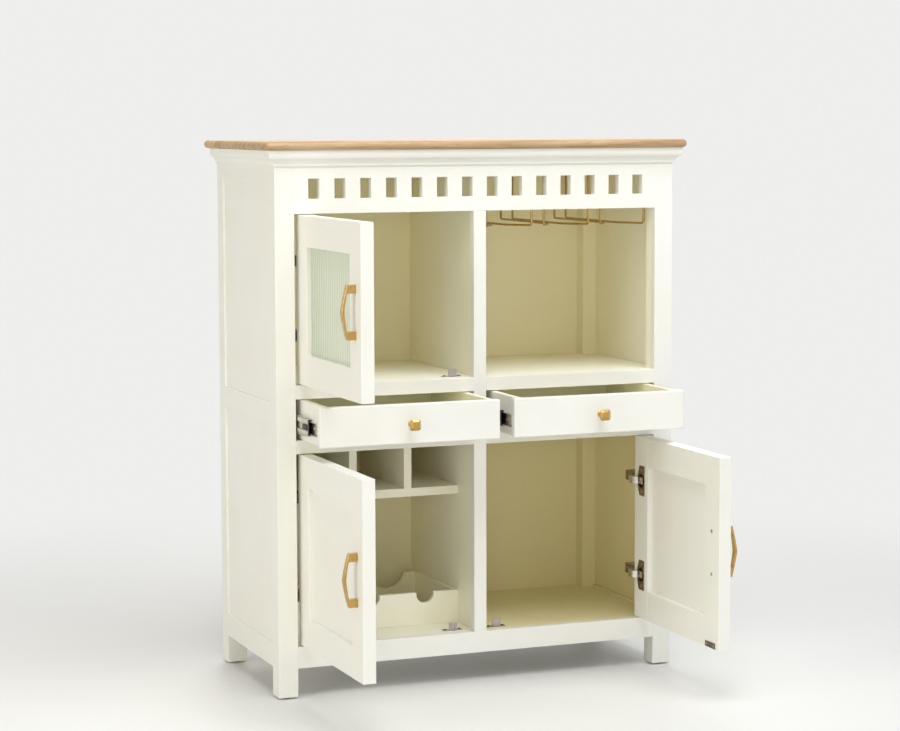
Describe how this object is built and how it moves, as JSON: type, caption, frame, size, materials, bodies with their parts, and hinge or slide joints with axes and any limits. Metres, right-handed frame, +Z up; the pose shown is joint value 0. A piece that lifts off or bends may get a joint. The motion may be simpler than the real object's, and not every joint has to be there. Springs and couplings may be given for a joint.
{
  "type": "bar cabinet",
  "caption": "Painted bar cabinet with an oak top, a glass door, panelled doors on cup hinges, drawers on ball bearing slides, wire stemware racks, cubbies and a bottle tray.",
  "frame": {"origin": "on the floor, under the centre of the footprint of the four posts", "axes": "+Z up, +Y to the rear, the front looks along -Y and +X is to the right as seen from the front; doors are stored open to a right angle and drawers 157 mm out"},
  "size_m": [1.017, 0.8615, 1.233],
  "materials": {
    "cream_paint": "satin cream paint on wood",
    "oak_top": "satin varnished honey oak",
    "glass": "fluted clear glass",
    "brass": "satin brass",
    "bronze": "dark bronze plating",
    "nickel": "bright nickel plating",
    "slide_steel": "zinc plated steel",
    "black_plastic": "moulded black plastic"
  },
  "bodies": {
    "carcass": {"back_panel": "cream_paint", "bottom_deck": "cream_paint", "bottom_rail": "cream_paint", "ceiling_panel": "cream_paint", "centre_stile": "cream_paint", "cornice": "cream_paint", "cubby_dividers": "cream_paint", "cubby_shelf": "cream_paint", "door_catches": "slide_steel", "drawer_rails": "cream_paint", "dust_decks": "cream_paint", "frieze_rail": "cream_paint", "glides": "black_plastic", "hinge_arms": "bronze", "hinge_blocks": "cream_paint", "partitions": "cream_paint", "posts": "cream_paint", "rear_rails": "cream_paint", "side_panels": "cream_paint", "side_rails": "cream_paint", "slide_battens": "cream_paint", "slide_cabinet_members": "slide_steel", "stemware_rack_left": "brass", "stemware_rack_middle": "brass", "stemware_rack_right": "brass", "top_board": "oak_top", "tray_ends": "cream_paint", "tray_front": "cream_paint", "tray_rear": "cream_paint", "upper_deck": "cream_paint"},
    "upper_left_door": {"upper_left_door_frame": "cream_paint", "upper_left_door_glass": "glass", "glazing_beads": "cream_paint", "upper_left_handle": "brass", "upper_left_door_fittings": "bronze"},
    "upper_left_links": {"upper_left_hinge_links": "nickel"},
    "lower_left_door": {"lower_left_door_frame": "cream_paint", "lower_left_door_panel": "cream_paint", "lower_left_handle": "brass", "lower_left_door_fittings": "bronze"},
    "lower_left_links": {"lower_left_hinge_links": "nickel"},
    "lower_right_door": {"lower_right_door_frame": "cream_paint", "lower_right_door_panel": "cream_paint", "lower_right_handle": "brass", "lower_right_door_fittings": "bronze"},
    "lower_right_links": {"lower_right_hinge_links": "nickel"},
    "left_drawer": {"left_drawer_front": "cream_paint", "left_drawer_box": "cream_paint", "left_drawer_bottom": "cream_paint", "left_knob": "brass", "left_slide_inner_members": "slide_steel"},
    "left_slides": {"left_slide_middle_members": "slide_steel", "left_slide_stops": "black_plastic"},
    "right_drawer": {"right_drawer_front": "cream_paint", "right_drawer_box": "cream_paint", "right_drawer_bottom": "cream_paint", "right_knob": "brass", "right_slide_inner_members": "slide_steel"},
    "right_slides": {"right_slide_middle_members": "slide_steel", "right_slide_stops": "black_plastic"}
  },
  "joints": [
    {"name": "upper_left_door_hinge", "type": "hinge", "parent": "carcass", "child": "upper_left_door", "pos_m": [-0.422, -0.213, 0.88775], "axis": [0, 0, -1], "range_deg": [-90, 0]},
    {"name": "upper_left_link_pivot", "type": "hinge", "parent": "carcass", "child": "upper_left_links", "pos_m": [-0.411, -0.1852, 0.88775], "axis": [0, 0, -1], "range_deg": [-64, 0]},
    {"name": "lower_left_door_hinge", "type": "hinge", "parent": "carcass", "child": "lower_left_door", "pos_m": [-0.422, -0.213, 0.332], "axis": [0, 0, -1], "range_deg": [-90, 0]},
    {"name": "lower_left_link_pivot", "type": "hinge", "parent": "carcass", "child": "lower_left_links", "pos_m": [-0.411, -0.1852, 0.332], "axis": [0, 0, -1], "range_deg": [-64, 0]},
    {"name": "lower_right_door_hinge", "type": "hinge", "parent": "carcass", "child": "lower_right_door", "pos_m": [0.422, -0.213, 0.332], "axis": [0, 0, 1], "range_deg": [-90, 0]},
    {"name": "lower_right_link_pivot", "type": "hinge", "parent": "carcass", "child": "lower_right_links", "pos_m": [0.411, -0.1852, 0.332], "axis": [0, 0, 1], "range_deg": [-64, 0]},
    {"name": "left_drawer_slide", "type": "slide", "parent": "carcass", "child": "left_drawer", "axis": [0, -1, 0], "range_m": [-0.157, 0.183]},
    {"name": "left_middle_member_slide", "type": "slide", "parent": "carcass", "child": "left_slides", "axis": [0, -1, 0], "range_m": [-0.1001, 0.1167]},
    {"name": "right_drawer_slide", "type": "slide", "parent": "carcass", "child": "right_drawer", "axis": [0, -1, 0], "range_m": [-0.157, 0.183]},
    {"name": "right_middle_member_slide", "type": "slide", "parent": "carcass", "child": "right_slides", "axis": [0, -1, 0], "range_m": [-0.1001, 0.1167]}
  ],
  "couplings": [
    {"joint": "upper_left_link_pivot", "follows": "upper_left_door_hinge", "ratio": 0.71},
    {"joint": "lower_left_link_pivot", "follows": "lower_left_door_hinge", "ratio": 0.71},
    {"joint": "lower_right_link_pivot", "follows": "lower_right_door_hinge", "ratio": 0.71},
    {"joint": "left_middle_member_slide", "follows": "left_drawer_slide", "ratio": 0.63694},
    {"joint": "right_middle_member_slide", "follows": "right_drawer_slide", "ratio": 0.63694}
  ]
}
